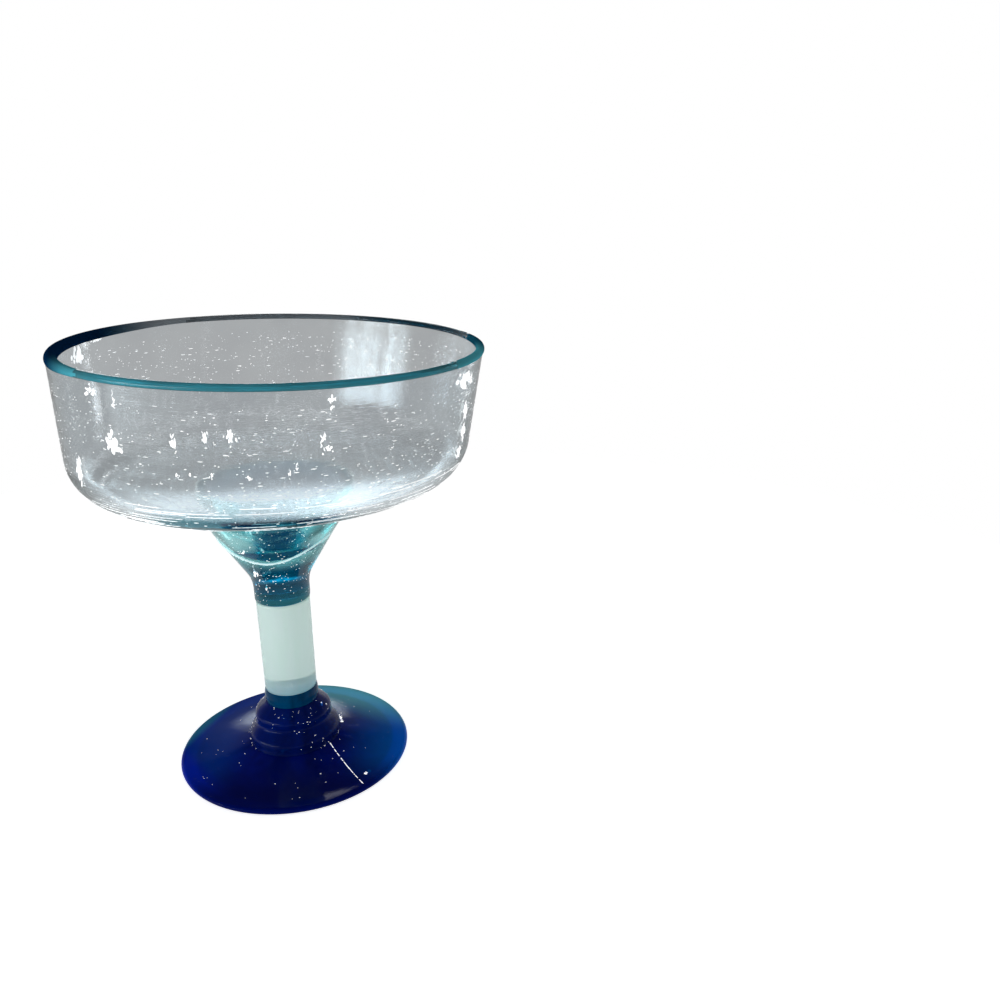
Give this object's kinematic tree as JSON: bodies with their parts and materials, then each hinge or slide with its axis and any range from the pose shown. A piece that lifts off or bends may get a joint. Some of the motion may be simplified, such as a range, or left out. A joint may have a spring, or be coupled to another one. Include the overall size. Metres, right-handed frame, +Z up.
{
  "type": "margarita glass",
  "caption": "Hand-blown margarita glass with a wide clear bowl, coloured lip thread, teal neck, clear stem, blue band and a cobalt knop and foot.",
  "frame": {"origin": "centre of the foot, on the plane that the glass stands on", "axes": "+Z up along the axis of the stem, towards the open bowl; the glass is round about it"},
  "size_m": [0.14, 0.14, 0.1564],
  "materials": {
    "cobalt_glass": "fire-polished solid cobalt blue glass with fine seeds",
    "blue_glass": "fire-polished mid-blue glass",
    "stem_glass": "fire-polished pale grey-green glass with a few seeds",
    "teal_glass": "fire-polished teal glass full of seeds",
    "bowl_glass": "blown clear glass, faintly grey, with many seeds and tooling lines",
    "turquoise_glass": "fire-polished turquoise glass, nearly navy where it is thick"
  },
  "bodies": {
    "root": {"foot": "cobalt_glass", "knop": "cobalt_glass", "stem_band": "blue_glass", "stem": "stem_glass", "neck": "teal_glass", "bowl": "bowl_glass", "rim_wrap": "turquoise_glass"}
  },
  "joints": []
}
